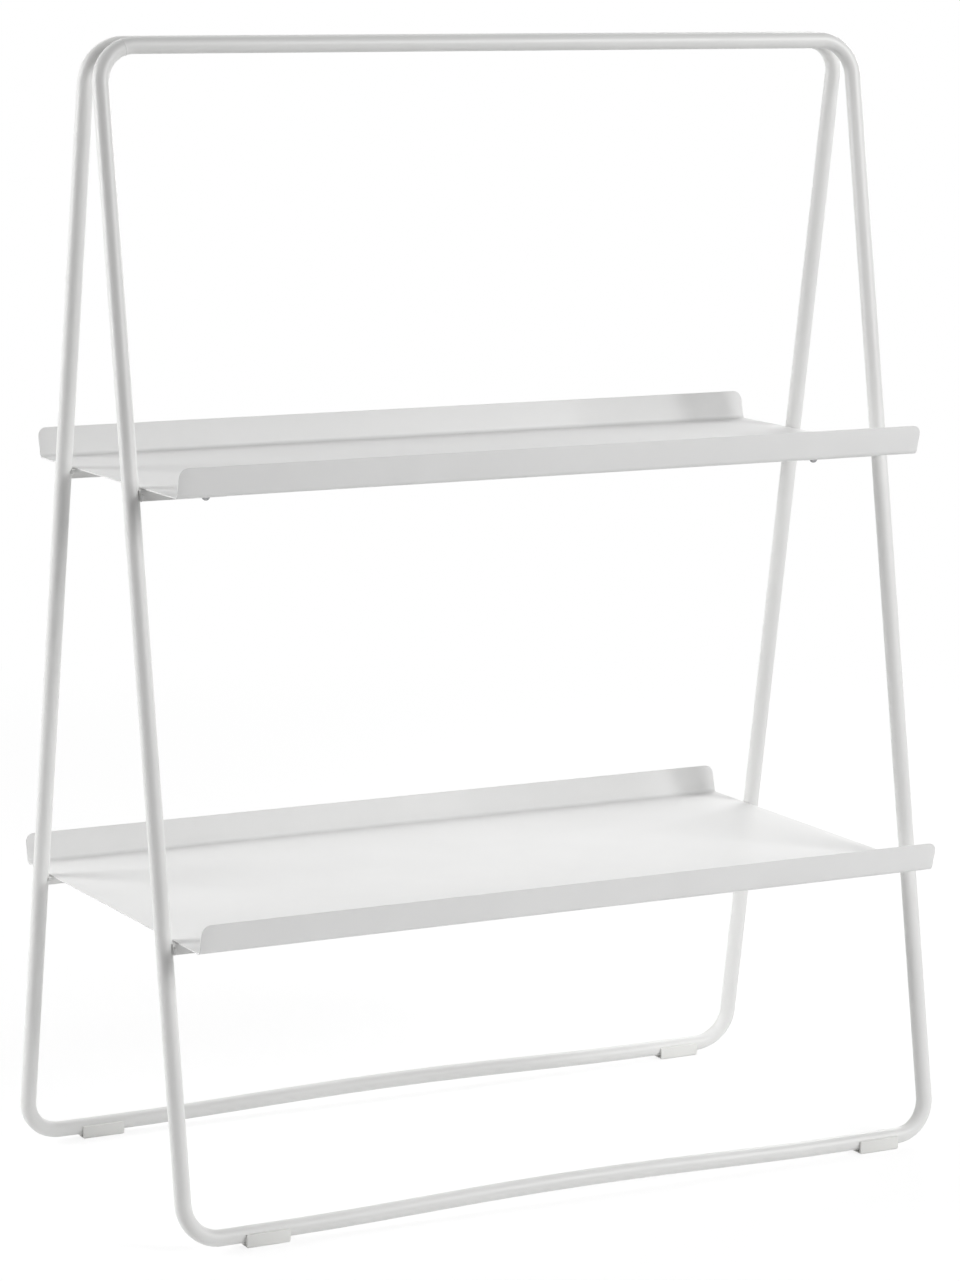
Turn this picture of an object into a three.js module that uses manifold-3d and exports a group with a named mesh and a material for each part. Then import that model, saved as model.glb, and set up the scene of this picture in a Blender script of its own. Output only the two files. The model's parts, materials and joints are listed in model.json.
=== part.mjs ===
// A ladder stand for plants. Two closed loops of bent steel tube lean towards each other,
// and two folded sheet trays lie between their legs, bolted to welded angle brackets.
// Millimetres, +Z up, -Y is the front, and the origin is on the floor under the middle.

import * as THREE from 'three';
import { mergeVertices } from 'three/addons/utils/BufferGeometryUtils.js';
import Module from 'manifold-3d';

const wasm = await Module();
wasm.setup();

// ---------- Driving dimensions ----------

const CLEARANCE = 0.3; // air left between pieces that touch on the real stand
const OVERRUN = 2; // how far a cutting tool reaches past what it cuts

// The two bent tube loops
const TUBE_DIAMETER = 18;
const TUBE_WALL = 1.5;
const LOOP_WIDTH = 922; // between the centre lines of the left and right legs
const STAND_HEIGHT = 1250; // from the floor to the top of the top bars
const FOOT_SPREAD = 447; // between the centre lines of the bottom rails
const TOP_GAP = 10.5; // air between the two top bars
const BEND_RADIUS = 40; // of the centre line, at all four corners
const RAIL_RISE = 5.5; // the bottom rail arches up this much at its middle
const RAIL_STRAIGHT = 15; // straight rail between a glide and the start of that arch
const VENT_DIAMETER = 4; // drain holes on the underside of the bottom rails
const VENT_FROM_MIDDLE = 150;

// The spacers between the top bars
const SPACER_DIAMETER = 12;
const SPACER_FROM_BEND = 40; // from the end of a top bend to the middle of a spacer

// The folded trays
const SHEET = 1.5;
const TRAY_END_GAP = 2; // air between a tray's end and a leg
const LIP_HEIGHT = 33; // from the underside of the floor to the top edge of a lip
const LIP_FLARE = 14.5; // degrees that each lip leans out from upright
const FOLD_RADIUS = 5; // inside of the fold
const LIP_CORNER = 10; // radius of the rounded upper corners of a lip
const UPPER_TRAY_HEIGHT = 787.5; // from the floor to the underside of the tray
const UPPER_TRAY_DEPTH = 389; // across the top edges of its lips
const LOWER_TRAY_HEIGHT = 322;
const LOWER_TRAY_DEPTH = 492;

// The angle brackets
const BRACKET_START = 6; // from a leg's centre line to the bracket's welded end
const BRACKET_LENGTH = 99;
const BRACKET_HEIGHT = 12; // of the upright flange
const BRACKET_THICKNESS = 3;

// Stud, washer and cap nut
const STUD_DIAMETER = 6;
const HOLE_CLEARANCE = 0.4; // air all round a stud, in bracket and washer
const STUD_FROM_BRACKET_END = 19;
const STUD_ENGAGEMENT = 7; // length of stud inside the nut
const WASHER_DIAMETER = 12;
const WASHER_THICKNESS = 1.6;
const WASHER_MARGIN = 2.5; // flat flange left free on both sides of a washer
const NUT_WALL = 1.7; // steel between the bore and the flats
const NUT_HEX_HEIGHT = 6;
const NUT_DOME_HEIGHT = 5.6;
const NUT_SHOULDER = 0.3; // how far the dome stands in from the flats
const NUT_BORE_SPARE = 1.5; // bore left beyond the end of the stud

// The clip-on glides
const GLIDE_LENGTH = 50;
const GLIDE_WALL = 2.7; // plastic on each side of the tube
const GLIDE_FLOOR = 3.3; // plastic under the tube
const GLIDE_GRIP = 2.2; // how far its walls reach above the tube's centre line
const GLIDE_CORNER = 3; // rounding of its four lower edges
const GLIDE_SHELL = 1.6; // plastic between its pockets and the floor
const RIB_COUNT = 3; // ribs across the glide that cradle the tube, with pockets beside them
const RIB_THICKNESS = 2;
const RIB_FROM_END = 11; // from the glide's end to its first rib
const LEFT_GLIDE_FROM_BEND = 25; // from the end of a bottom bend to the glide
const RIGHT_GLIDE_FROM_BEND = 6;

// Fineness of the round shapes
const TUBE_SIDES = 20;
const BORE_SIDES = 12;
const BEND_STEPS = 8;
const ARCH_STEPS = 10;
const FOLD_STEPS = 4;
const CORNER_STEPS = 5;
const FIXING_SIDES = 12;
const VENT_SIDES = 8;
const CHANNEL_STEPS = 10;

// ---------- Values worked out from them ----------

const tubeRadius = TUBE_DIAMETER / 2;
const tubeSocket = TUBE_DIAMETER + 2 * CLEARANCE; // what fits round a tube
const halfWidth = LOOP_WIDTH / 2;
const railHeight = GLIDE_FLOOR + CLEARANCE + tubeRadius;
const topHeight = STAND_HEIGHT - tubeRadius;
const topSpread = TUBE_DIAMETER + TOP_GAP;

// Each loop is flat and leans: its top comes in by run while it goes up by rise
const rise = topHeight - railHeight;
const run = (FOOT_SPREAD - topSpread) / 2;
const loopHeight = Math.hypot(rise, run);
const lean = Math.atan2(run, rise);

// Distance of a leg's centre line from the middle plane at a height above the floor
const legDistance = (height) => FOOT_SPREAD / 2 - ((height - railHeight) * run) / rise;

const bendEnd = halfWidth - BEND_RADIUS; // x where a bend runs into a rail or top bar
const trayLength = LOOP_WIDTH - TUBE_DIAMETER - 2 * TRAY_END_GAP;
const bracketWidth = WASHER_DIAMETER + 2 * WASHER_MARGIN + BRACKET_THICKNESS;
const studHole = STUD_DIAMETER + 2 * HOLE_CLEARANCE;
const nutBore = STUD_DIAMETER + 2 * CLEARANCE;
const nutFlats = nutBore + 2 * NUT_WALL;
const glideWidth = tubeSocket + 2 * GLIDE_WALL;
const glideBottom = -(tubeSocket / 2 + GLIDE_FLOOR); // below the tube's centre line

// ---------- Finishes ----------

const paint = { color: 0xe9eae6, roughness: 0.5, metalness: 0 };
const zinc = { color: 0xc9ccce, roughness: 0.35, metalness: 0.9 };
const plastic = { color: 0xd2d2cc, roughness: 0.55, metalness: 0 };

// ---------- Helpers ----------

const stand = new THREE.Group();

function add(name, geometry, finish, parent = stand) {
  const mesh = new THREE.Mesh(geometry, new THREE.MeshStandardMaterial(finish));
  mesh.name = name;
  parent.add(mesh);
  return mesh;
}

// Turns a closed geometry into a solid that can be cut and joined
function solid(geometry) {
  const bare = geometry.clone();
  bare.deleteAttribute('normal');
  bare.deleteAttribute('uv');
  const merged = mergeVertices(bare);
  const triangles = merged.index ?? geometry.index;
  return new wasm.Manifold(new wasm.Mesh({
    numProp: 3,
    vertProperties: new Float32Array(merged.attributes.position.array),
    triVerts: new Uint32Array(triangles.array),
  }));
}

// Turns a solid back into a geometry
function geometryOf(body) {
  const mesh = body.getMesh();
  const geometry = new THREE.BufferGeometry();
  geometry.setAttribute('position', new THREE.BufferAttribute(new Float32Array(mesh.vertProperties), 3));
  geometry.setIndex(new THREE.BufferAttribute(new Uint32Array(mesh.triVerts), 1));
  return geometry;
}

// A geometry with every tool cut away from it
const cut = (geometry, ...tools) =>
  geometryOf(tools.reduce((body, tool) => body.subtract(solid(tool)), solid(geometry)));

// An upright round bar that stands on z = 0
const uprightBar = (diameter, height, sides = FIXING_SIDES) =>
  new THREE.CylinderGeometry(diameter / 2, diameter / 2, height, sides)
    .rotateX(Math.PI / 2)
    .translate(0, 0, height / 2);

// A tool that cuts room for a tube whose centre line passes through two points
function tubeTool(from, to) {
  const along = to.clone().sub(from);
  const bar = uprightBar(tubeSocket, along.length(), TUBE_SIDES);
  const upright = new THREE.Vector3(0, 0, 1);
  bar.applyQuaternion(new THREE.Quaternion().setFromUnitVectors(upright, along.normalize()));
  return bar.translate(from.x, from.y, from.z);
}

// An outline drawn in Y and Z, extruded along X to both sides of x = 0
function extrudeAlongX(outline, length, curveSegments = CORNER_STEPS) {
  const axes = new THREE.Matrix4().makeBasis(
    new THREE.Vector3(0, 1, 0),
    new THREE.Vector3(0, 0, 1),
    new THREE.Vector3(1, 0, 0),
  );
  return new THREE.ExtrudeGeometry(outline, { depth: length, bevelEnabled: false, curveSegments })
    .applyMatrix4(axes)
    .translate(-length / 2, 0, 0);
}

// An outline drawn in X and Z, extruded along Y to both sides of y = 0
const extrudeAlongY = (outline, length) =>
  new THREE.ExtrudeGeometry(outline, { depth: length, bevelEnabled: false, curveSegments: CORNER_STEPS })
    .rotateX(Math.PI / 2)
    .translate(0, length / 2, 0);

const sides = [-1, 1];
const depthName = { '-1': 'front', 1: 'rear' };
const widthName = { '-1': 'left', 1: 'right' };

// ---------- The tube loops ----------

// A closed path through stations of its own choice: long straight runs need no points between
class StationPath extends THREE.Curve {
  constructor(stations) {
    super();
    this.stations = stations;
  }

  station(u) {
    return this.stations[Math.round(u * this.stations.length) % this.stations.length];
  }

  getPointAt(u, target = new THREE.Vector3()) {
    return target.copy(this.station(u).point);
  }

  getTangentAt(u, target = new THREE.Vector3()) {
    return target.copy(this.station(u).tangent);
  }
}

// Centre line of an upright loop, with the ends of its bottom rail at z = 0
function loopStations() {
  const stations = [];
  const push = (x, z, angle) => stations.push({
    point: new THREE.Vector3(x, 0, z),
    tangent: new THREE.Vector3(Math.cos(angle), 0, Math.sin(angle)),
  });
  const glideSpan = Math.max(LEFT_GLIDE_FROM_BEND, RIGHT_GLIDE_FROM_BEND) + GLIDE_LENGTH;
  const archEnd = bendEnd - glideSpan - RAIL_STRAIGHT;
  for (let i = 0; i <= ARCH_STEPS; i += 1) {
    const t = (2 * i) / ARCH_STEPS - 1;
    const slope = (-4 * RAIL_RISE * t * (1 - t * t)) / archEnd;
    push(archEnd * t, RAIL_RISE * (1 - t * t) ** 2, Math.atan(slope));
  }
  const bend = (centreX, centreZ, startAngle) => {
    for (let i = 0; i <= BEND_STEPS; i += 1) {
      const angle = startAngle + ((i / BEND_STEPS) * Math.PI) / 2;
      const x = centreX + BEND_RADIUS * Math.cos(angle);
      const z = centreZ + BEND_RADIUS * Math.sin(angle);
      push(x, z, angle + Math.PI / 2);
    }
  };
  bend(bendEnd, BEND_RADIUS, -Math.PI / 2);
  bend(bendEnd, loopHeight - BEND_RADIUS, 0);
  bend(-bendEnd, loopHeight - BEND_RADIUS, Math.PI / 2);
  bend(-bendEnd, BEND_RADIUS, Math.PI);
  return stations;
}

function loopGeometry() {
  const stations = loopStations();
  const path = new StationPath(stations);
  const tube = (radius, radialSides) =>
    new THREE.TubeGeometry(path, stations.length, radius, radialSides, true);
  const vents = sides.map((side) => uprightBar(VENT_DIAMETER, TUBE_DIAMETER, VENT_SIDES)
    .translate(side * VENT_FROM_MIDDLE, 0, -TUBE_DIAMETER));
  return cut(tube(tubeRadius, TUBE_SIDES), tube(tubeRadius - TUBE_WALL, BORE_SIDES), ...vents);
}

function addLoops() {
  for (const side of sides) {
    const loop = add(`${depthName[side]}_loop`, loopGeometry(), paint);
    loop.position.set(0, (side * FOOT_SPREAD) / 2, railHeight);
    loop.rotation.x = side * lean;
  }
}

function addTopSpacers() {
  const topBarTool = (side) => {
    const end = (x) => new THREE.Vector3(x, (side * topSpread) / 2, 0);
    return tubeTool(end(-TUBE_DIAMETER), end(TUBE_DIAMETER));
  };
  for (const side of sides) {
    const bar = uprightBar(SPACER_DIAMETER, topSpread)
      .translate(0, 0, -topSpread / 2)
      .rotateX(Math.PI / 2);
    const spacer = add(`top_spacer_${widthName[side]}`, cut(bar, topBarTool(-1), topBarTool(1)), paint);
    spacer.position.set(side * (bendEnd - SPACER_FROM_BEND), 0, topHeight);
  }
}

// ---------- The trays ----------

// Cross-section of a tray in Y and Z, with the underside of its floor at z = 0
function trayOutline(depth) {
  const turn = Math.PI / 2 - THREE.MathUtils.degToRad(LIP_FLARE); // the sheet folds by this angle
  const outerRadius = FOLD_RADIUS + SHEET;
  const flatRise = LIP_HEIGHT - outerRadius + FOLD_RADIUS * Math.cos(turn);
  const flat = new THREE.Vector2(Math.cos(turn), Math.sin(turn)).multiplyScalar(flatRise / Math.sin(turn));
  const floorEdge = depth / 2 - outerRadius * Math.sin(turn) - flat.x;
  const onFold = (radius, i) => {
    const angle = (i / FOLD_STEPS) * turn;
    return new THREE.Vector2(floorEdge + radius * Math.sin(angle), outerRadius - radius * Math.cos(angle));
  };
  const steps = Array.from({ length: FOLD_STEPS + 1 }, (_, i) => i);
  const outside = steps.map((i) => onFold(outerRadius, i));
  const inside = steps.map((i) => onFold(FOLD_RADIUS, i));
  const half = [
    ...outside,
    outside.at(-1).clone().add(flat),
    inside.at(-1).clone().add(flat),
    ...inside.reverse(),
  ];
  const otherHalf = half.map((point) => new THREE.Vector2(-point.x, point.y)).reverse();
  return new THREE.Shape([...half, ...otherHalf]);
}

// A tool that rounds the upper corners of both lips at one end of a tray
function lipCornerTool(depth, side) {
  const end = trayLength / 2;
  const shape = new THREE.Shape();
  shape.moveTo(side * (end - LIP_CORNER), LIP_HEIGHT + OVERRUN);
  for (let i = 0; i <= CORNER_STEPS; i += 1) {
    const angle = ((1 - i / CORNER_STEPS) * Math.PI) / 2;
    const x = end - LIP_CORNER + LIP_CORNER * Math.cos(angle);
    shape.lineTo(side * x, LIP_HEIGHT - LIP_CORNER + LIP_CORNER * Math.sin(angle));
  }
  shape.lineTo(side * (end + OVERRUN), LIP_HEIGHT - LIP_CORNER);
  shape.lineTo(side * (end + OVERRUN), LIP_HEIGHT + OVERRUN);
  return extrudeAlongY(shape, depth + 2 * OVERRUN);
}

function addTray(tier, height, depth) {
  const sheet = extrudeAlongX(trayOutline(depth), trayLength);
  const corners = sides.map((side) => lipCornerTool(depth, side));
  const tray = add(`${tier}_tray`, cut(sheet, ...corners), paint);
  tray.position.z = height;
}

// ---------- Brackets and their fixings ----------

// These stand in the frame of one corner: the origin is on the leg's centre line, level with
// the top of the bracket. sideX and sideY point from the middle of the stand to the leg.

const studX = (sideX) => -sideX * (BRACKET_START + BRACKET_LENGTH - STUD_FROM_BRACKET_END);
const studY = (sideY) => (-sideY * BRACKET_THICKNESS) / 2; // in the middle of the free flange

// An angle with its flat flange on top and its upright flange outside, notched round the leg
function bracketGeometry(sideX, sideY) {
  const half = bracketWidth / 2;
  const web = half - BRACKET_THICKNESS;
  const outline = new THREE.Shape([
    new THREE.Vector2(sideY * half, 0),
    new THREE.Vector2(-sideY * half, 0),
    new THREE.Vector2(-sideY * half, -BRACKET_THICKNESS),
    new THREE.Vector2(sideY * web, -BRACKET_THICKNESS),
    new THREE.Vector2(sideY * web, -BRACKET_HEIGHT),
    new THREE.Vector2(sideY * half, -BRACKET_HEIGHT),
  ]);
  const angle = extrudeAlongX(outline, BRACKET_LENGTH)
    .translate(-sideX * (BRACKET_START + BRACKET_LENGTH / 2), 0, 0);
  const onLeg = (z) => new THREE.Vector3(0, (-sideY * z * run) / rise, z);
  const leg = tubeTool(onLeg(-BRACKET_HEIGHT - TUBE_DIAMETER), onLeg(TUBE_DIAMETER));
  const hole = uprightBar(studHole, BRACKET_THICKNESS + 2 * OVERRUN)
    .translate(studX(sideX), studY(sideY), -BRACKET_THICKNESS - OVERRUN);
  return cut(angle, leg, hole);
}

function washerGeometry() {
  const disc = uprightBar(WASHER_DIAMETER, WASHER_THICKNESS);
  const hole = uprightBar(studHole, WASHER_THICKNESS + 2 * OVERRUN).translate(0, 0, -OVERRUN);
  return cut(disc, hole);
}

// A domed cap nut that opens upward, with its seat at z = 0
function capNutGeometry() {
  const flatsToCorners = 1 / Math.cos(Math.PI / 6);
  const hex = uprightBar(nutFlats * flatsToCorners, NUT_HEX_HEIGHT, 6).translate(0, 0, -NUT_HEX_HEIGHT);
  const domeRadius = nutFlats / 2 - NUT_SHOULDER;
  const profile = new THREE.Path();
  profile.moveTo(0, -NUT_DOME_HEIGHT);
  profile.absellipse(0, 0, domeRadius, NUT_DOME_HEIGHT, -Math.PI / 2, 0, false);
  profile.lineTo(domeRadius, NUT_HEX_HEIGHT / 2);
  profile.lineTo(0, NUT_HEX_HEIGHT / 2);
  const dome = new THREE.LatheGeometry(profile.getPoints(CORNER_STEPS), FIXING_SIDES)
    .rotateX(Math.PI / 2)
    .translate(0, 0, -NUT_HEX_HEIGHT);
  const boreDepth = STUD_ENGAGEMENT + NUT_BORE_SPARE;
  const bore = uprightBar(nutBore, boreDepth + OVERRUN).translate(0, 0, -boreDepth);
  return geometryOf(solid(hex).add(solid(dome)).subtract(solid(bore)));
}

// One bracket on its leg, with the stud, washer and nut that hold the tray to it
function addCorner(tier, trayHeight, sideX, sideY) {
  const bracketTop = trayHeight - CLEARANCE;
  const washerTop = -BRACKET_THICKNESS - CLEARANCE;
  const nutTop = washerTop - WASHER_THICKNESS - CLEARANCE;
  const studLength = STUD_ENGAGEMENT - nutTop;
  const label = (piece) => `${tier}_${piece}_${depthName[sideY]}_${widthName[sideX]}`;

  const corner = new THREE.Group();
  corner.position.set(sideX * halfWidth, sideY * legDistance(bracketTop), bracketTop);
  stand.add(corner);
  add(label('bracket'), bracketGeometry(sideX, sideY), paint, corner);

  const stack = new THREE.Group();
  stack.position.set(studX(sideX), studY(sideY), 0);
  corner.add(stack);
  add(label('stud'), uprightBar(STUD_DIAMETER, studLength), zinc, stack).position.z = -studLength;
  add(label('washer'), washerGeometry(), zinc, stack).position.z = washerTop - WASHER_THICKNESS;
  add(label('cap_nut'), capNutGeometry(), zinc, stack).position.z = nutTop;
}

// ---------- Glides ----------

// The pockets beside the ribs, under the tube: the glide's ends and the gaps between the ribs
function glidePocketTools() {
  const floor = glideBottom + GLIDE_SHELL;
  const firstRib = RIB_FROM_END - GLIDE_LENGTH / 2;
  const ribStep = (-2 * firstRib - RIB_THICKNESS) / (RIB_COUNT - 1);
  const starts = [-GLIDE_LENGTH / 2 - OVERRUN];
  const ends = [];
  for (let i = 0; i < RIB_COUNT; i += 1) {
    ends.push(firstRib + i * ribStep);
    starts.push(firstRib + i * ribStep + RIB_THICKNESS);
  }
  ends.push(GLIDE_LENGTH / 2 + OVERRUN);
  return starts.map((start, i) => new THREE.BoxGeometry(ends[i] - start, tubeSocket, -floor)
    .translate((start + ends[i]) / 2, 0, floor / 2));
}

// A moulded saddle, open upward, that grips a tube whose centre line is the X axis
function glideGeometry() {
  const half = glideWidth / 2;
  const gripAngle = Math.asin(GLIDE_GRIP / (tubeSocket / 2));
  const section = new THREE.Shape();
  section.moveTo(-half, GLIDE_GRIP);
  section.absarc(GLIDE_CORNER - half, glideBottom + GLIDE_CORNER, GLIDE_CORNER, Math.PI, 1.5 * Math.PI);
  section.absarc(half - GLIDE_CORNER, glideBottom + GLIDE_CORNER, GLIDE_CORNER, 1.5 * Math.PI, 2 * Math.PI);
  section.lineTo(half, GLIDE_GRIP);
  section.absarc(0, 0, tubeSocket / 2, gripAngle, -Math.PI - gripAngle, true);
  const saddle = extrudeAlongX(section, GLIDE_LENGTH, CHANNEL_STEPS);

  const end = GLIDE_LENGTH / 2;
  const face = new THREE.Shape();
  face.moveTo(-end, GLIDE_GRIP + OVERRUN);
  face.absarc(GLIDE_CORNER - end, glideBottom + GLIDE_CORNER, GLIDE_CORNER, Math.PI, 1.5 * Math.PI);
  face.absarc(end - GLIDE_CORNER, glideBottom + GLIDE_CORNER, GLIDE_CORNER, 1.5 * Math.PI, 2 * Math.PI);
  face.lineTo(end, GLIDE_GRIP + OVERRUN);
  const envelope = extrudeAlongY(face, glideWidth + 2 * OVERRUN);
  return cut(geometryOf(solid(saddle).intersect(solid(envelope))), ...glidePocketTools());
}

function addGlides() {
  const fromBend = { '-1': LEFT_GLIDE_FROM_BEND, 1: RIGHT_GLIDE_FROM_BEND };
  for (const sideY of sides) {
    for (const sideX of sides) {
      const glide = add(`glide_${depthName[sideY]}_${widthName[sideX]}`, glideGeometry(), plastic);
      const x = sideX * (bendEnd - fromBend[sideX] - GLIDE_LENGTH / 2);
      glide.position.set(x, (sideY * FOOT_SPREAD) / 2, railHeight);
    }
  }
}

// ---------- Assembly ----------

addLoops();
addTopSpacers();
addGlides();
for (const [tier, height, depth] of [
  ['upper', UPPER_TRAY_HEIGHT, UPPER_TRAY_DEPTH],
  ['lower', LOWER_TRAY_HEIGHT, LOWER_TRAY_DEPTH],
]) {
  addTray(tier, height, depth);
  for (const sideY of sides) {
    for (const sideX of sides) {
      addCorner(tier, height, sideX, sideY);
    }
  }
}

export default stand;
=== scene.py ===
# %% [markdown]
# # A ladder stand for plants
#
# This lesson dresses a stand that is already built at its real size. Two closed loops of steel
# tube lean towards each other, and two folded trays lie between their legs.
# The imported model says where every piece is. Blender adds what that model leaves out: the fine
# curves, the welds, the soft edges and the white satin coat.

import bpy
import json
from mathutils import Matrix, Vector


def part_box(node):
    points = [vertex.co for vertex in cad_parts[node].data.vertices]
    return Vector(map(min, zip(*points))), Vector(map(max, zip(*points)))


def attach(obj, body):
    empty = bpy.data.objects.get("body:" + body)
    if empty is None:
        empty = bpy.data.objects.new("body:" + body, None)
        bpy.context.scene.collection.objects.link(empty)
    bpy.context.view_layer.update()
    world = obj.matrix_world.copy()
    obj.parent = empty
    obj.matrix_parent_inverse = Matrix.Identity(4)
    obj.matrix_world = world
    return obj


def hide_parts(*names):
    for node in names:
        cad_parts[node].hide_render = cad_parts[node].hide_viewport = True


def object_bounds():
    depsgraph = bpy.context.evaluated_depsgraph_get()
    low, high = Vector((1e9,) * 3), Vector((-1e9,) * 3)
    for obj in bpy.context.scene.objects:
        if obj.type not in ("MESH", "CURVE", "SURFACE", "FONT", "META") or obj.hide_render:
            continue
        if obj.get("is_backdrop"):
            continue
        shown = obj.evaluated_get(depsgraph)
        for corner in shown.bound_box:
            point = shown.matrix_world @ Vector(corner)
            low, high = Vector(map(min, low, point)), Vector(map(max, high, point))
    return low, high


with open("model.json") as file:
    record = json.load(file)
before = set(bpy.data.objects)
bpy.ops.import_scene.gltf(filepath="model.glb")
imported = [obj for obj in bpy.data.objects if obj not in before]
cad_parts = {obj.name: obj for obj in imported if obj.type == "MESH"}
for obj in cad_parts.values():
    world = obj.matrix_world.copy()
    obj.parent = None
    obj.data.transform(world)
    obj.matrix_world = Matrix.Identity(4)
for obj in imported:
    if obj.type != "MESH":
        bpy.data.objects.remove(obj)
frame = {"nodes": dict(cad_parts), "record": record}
cad_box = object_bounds()
print("nodes in the frame:", len(frame["nodes"]))
print("size in metres:", [round(size, 4) for size in cad_box[1] - cad_box[0]])

# %% [markdown]
# ## Units and directions
#
# Blender counts in metres, but a workshop drawing of such a stand is in millimetres. Every size
# below is in millimetres, and one factor turns it into metres when a mesh is made.
# The trays run along X, the front is at -Y and the floor is at z = 0. The stand is the same on
# both sides, so most pieces are made in a loop over the two signs.

# %% Units and directions
import json
import math

import bmesh
import bpy
from mathutils import Matrix, Vector

MM = 0.001
SIDES = (-1, 1)
DEPTH_NAME = {-1: "front", 1: "rear"}
WIDTH_NAME = {-1: "left", 1: "right"}


def box_mm(node):
    """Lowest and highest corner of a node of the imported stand, in millimetres."""
    low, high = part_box(node)
    return low / MM, high / MM


loop_low, loop_high = box_mm("front_loop")
print("front loop from", [round(v, 1) for v in loop_low], "to", [round(v, 1) for v in loop_high])

# %% [markdown]
# ## The camera
#
# A product photographer stands back and zooms in, because a long lens keeps upright lines upright.
# The camera here is 4.8 m away, turned to the right, and looks down a little.
# A camera looks along its own -Z axis, so its matrix is built from three directions: the way it
# looks, what is to its right and what is above.

# %% The camera
CAMERA_PLACE = Vector((-2138.0, -4050.7, 1363.5))
TURN_RIGHT = 0.48532  # radians, from looking straight along +Y
LOOK_DOWN = 0.16935
ROLL = 0.006838
SENSOR = 36.0
LENS = 117.09

looks = Vector((
    math.sin(TURN_RIGHT) * math.cos(LOOK_DOWN),
    math.cos(TURN_RIGHT) * math.cos(LOOK_DOWN),
    -math.sin(LOOK_DOWN),
))
level_right = Vector((math.cos(TURN_RIGHT), -math.sin(TURN_RIGHT), 0))
level_up = level_right.cross(looks)
camera_right = math.cos(ROLL) * level_right + math.sin(ROLL) * level_up
camera_up = math.cos(ROLL) * level_up - math.sin(ROLL) * level_right

camera_data = bpy.data.cameras.new("photo_camera")
camera_data.sensor_width = SENSOR
camera_data.lens = LENS
camera_data.clip_end = 100
camera = bpy.data.objects.new("photo_camera", camera_data)
camera.matrix_world = Matrix((
    (*camera_right, 0), (*camera_up, 0), (*-looks, 0), (0, 0, 0, 1),
)).transposed()
camera.location = CAMERA_PLACE * MM
bpy.context.scene.collection.objects.link(camera)
bpy.context.scene.camera = camera
print("camera distance in metres:", round((CAMERA_PLACE * MM).length, 2))

# %% [markdown]
# ## How a finish is written down
#
# A finish in Blender is a net of nodes. Writing such a net in Python gets long, so two small
# classes keep it short. A Signal is a number that a node gives at each point of a surface, and
# it can be added and multiplied like any number. A Finish is one material: its node method adds
# any node, with the settings first and then the values or signals that go into its sockets.

# %% Signals that can be added and multiplied
class Signal:
    """What a node gives out at each point of a surface."""

    def __init__(self, finish, socket):
        self.finish = finish
        self.socket = socket

    def _maths(self, operation, first, second):
        sockets = {0: first, 1: second}
        return self.finish.node("ShaderNodeMath", {"operation": operation}, sockets)

    def __add__(self, other):
        return self._maths("ADD", self, other)

    def __radd__(self, other):
        return self._maths("ADD", other, self)

    def __sub__(self, other):
        return self._maths("SUBTRACT", self, other)

    def __rsub__(self, other):
        return self._maths("SUBTRACT", other, self)

    def __mul__(self, other):
        return self._maths("MULTIPLY", self, other)

    def __rmul__(self, other):
        return self._maths("MULTIPLY", other, self)


# %% A finish and its nodes
class Finish:
    """One material, whose nodes are added one at a time."""

    def __init__(self, name, world=None):
        self.owner = world or bpy.data.materials.new(name)
        self.owner.use_nodes = True
        self.tree = self.owner.node_tree
        self.shader = self.tree.nodes.get("Principled BSDF")

    def plug(self, socket, value):
        """Links a signal to a socket, or sets the socket to a plain value."""
        if isinstance(value, Signal):
            self.tree.links.new(value.socket, socket)
        else:
            socket.default_value = value

    def node(self, kind, settings=None, sockets=None, output=0):
        """Adds a node: its settings come first, then the values or signals of its sockets."""
        made = self.tree.nodes.new(kind)
        for name, value in (settings or {}).items():
            setattr(made, name, value)
        for key, value in (sockets or {}).items():
            self.plug(made.inputs[key], value)
        return Signal(self, made.outputs[output])

    def places(self):
        """Where each point of the surface is, in metres."""
        return self.node("ShaderNodeTexCoord", output="Object")

    def noise(self, size, detail=2.0, places=None):
        """Smooth noise around 0.5, whose lumps are about this many millimetres across."""
        sockets = {"Vector": places or self.places(), "Scale": 1 / (size * MM), "Detail": detail}
        return self.node("ShaderNodeTexNoise", {}, sockets)

    def stretched(self, x, y, z, places=None):
        """The surface's places, with each axis multiplied."""
        sockets = {0: places or self.places(), 1: (x, y, z)}
        return self.node("ShaderNodeVectorMath", {"operation": "MULTIPLY"}, sockets)

    def step(self, signal, low, high):
        """0 below low, 1 above high, and a smooth slope between them."""
        sockets = {"Value": signal, "From Min": low, "From Max": high}
        return self.node("ShaderNodeMapRange", {"interpolation_type": "SMOOTHSTEP"}, sockets)

    def between(self, signal, colour_low, colour_high):
        """A colour that goes from one to another as the signal goes from 0 to 1."""
        sockets = {0: signal, 6: (*colour_low, 1), 7: (*colour_high, 1)}
        return self.node("ShaderNodeMix", {"data_type": "RGBA"}, sockets, output=2)

    def relief(self, height):
        """Tilts the surface's shading as if it had this height, given in millimetres."""
        sockets = {"Height": height * MM, "Distance": 1.0, "Strength": 1.0}
        self.plug(self.shader.inputs["Normal"], self.node("ShaderNodeBump", {}, sockets))

    def set(self, **values):
        """Sets sockets of the shader. An underscore in a name stands for a space."""
        for name, value in values.items():
            self.plug(self.shader.inputs[name.replace("_", " ")], value)


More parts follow.
